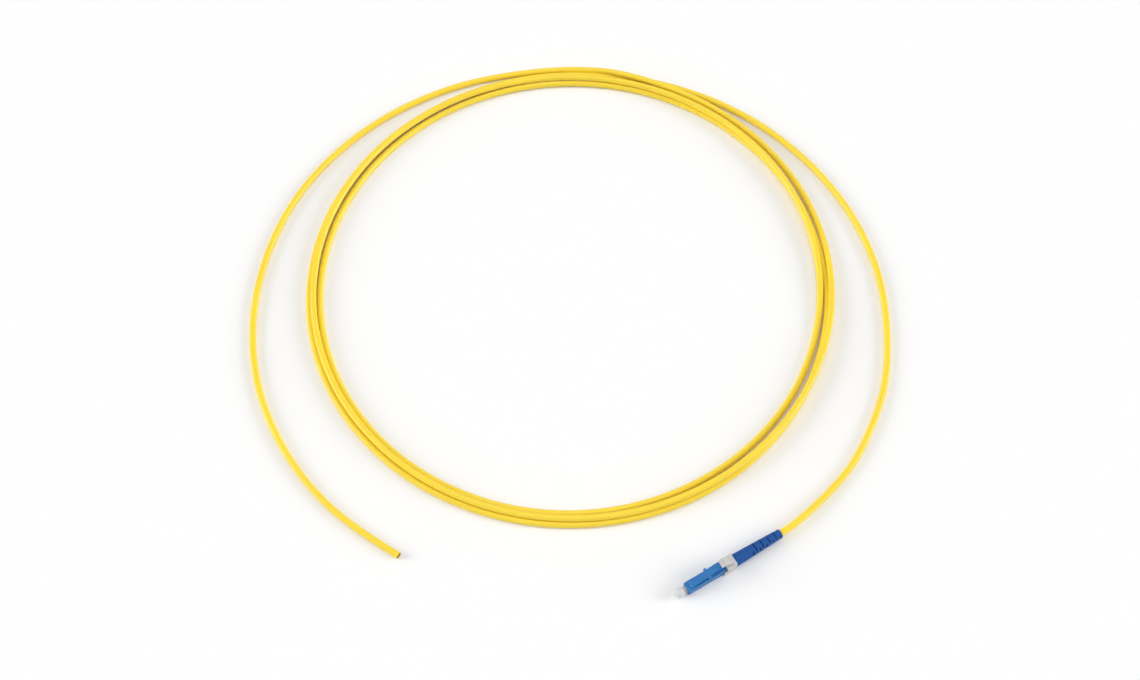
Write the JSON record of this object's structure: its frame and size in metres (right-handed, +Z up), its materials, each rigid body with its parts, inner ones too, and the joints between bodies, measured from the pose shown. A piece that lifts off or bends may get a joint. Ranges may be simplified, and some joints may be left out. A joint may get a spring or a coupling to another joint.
{
  "type": "fiber pigtail",
  "caption": "Single-fibre pigtail: small square latched plug with dust cap, rear trigger clip and slotted boot, on a loose ring of yellow 3 mm cable with a bare cut end.",
  "frame": {"origin": "on the floor under the middle of the plug, from the dust cap's tip to the boot's end", "axes": "+X along the plug's axis from the dust cap to the boot, +Z up with the latch on top, +Y towards the cable ring"},
  "size_m": [0.2932, 0.2909, 0.0097],
  "materials": {
    "cap_plastic": "translucent, satin",
    "housing_plastic": "moulded satin",
    "clip_plastic": "moulded satin",
    "boot_rubber": "soft moulded",
    "jacket": "extruded satin",
    "ceramic": "polished",
    "brass_nickel": "nickel plated, turned",
    "spring_steel": "drawn wire",
    "buffer_plastic": "extruded",
    "glass_core": "clear",
    "yarn": "loose fibres"
  },
  "bodies": {
    "plug": {"plug_housing": "housing_plastic", "rear_clip": "clip_plastic", "boot": "boot_rubber", "rear_body": "brass_nickel", "aramid_yarn": "yarn", "crimp_sleeve": "brass_nickel", "spring": "spring_steel", "fibre_buffer": "buffer_plastic", "cable_lead": "jacket", "cable_coil": "jacket", "cable_tail": "jacket"},
    "ferrule_set": {"ferrule": "ceramic", "ferrule_flange": "brass_nickel", "glass_fibre": "glass_core", "guide_tube": "buffer_plastic"},
    "cap": {"dust_cap": "cap_plastic"},
    "latch_arm": {"latch": "housing_plastic"},
    "trigger_arm": {"trigger": "clip_plastic"}
  },
  "joints": [
    {"name": "ferrule_retract", "type": "slide", "parent": "plug", "child": "ferrule_set", "axis": [1, 0, 0], "range_m": [0, 0.0012], "stiffness_N_per_m": 1500, "springref_m": -0.002, "deforming": ["spring", "fibre_buffer"]},
    {"name": "cap_pull", "type": "slide", "parent": "ferrule_set", "child": "cap", "axis": [-1, 0, 0], "range_m": [0, 0.012]},
    {"name": "trigger_press", "type": "hinge", "parent": "plug", "child": "trigger_arm", "pos_m": [0.00055, 0, 0.0066], "axis": [0, -1, 0], "range_deg": [0, 18], "stiffness_Nm_per_rad": 0.06},
    {"name": "latch_press", "type": "hinge", "parent": "plug", "child": "latch_arm", "pos_m": [-0.0186, 0, 0.0056], "axis": [0, 1, 0], "range_deg": [0, 7.2]}
  ],
  "couplings": [
    {"joint": "latch_press", "follows": "trigger_press", "ratio": 0.4}
  ]
}
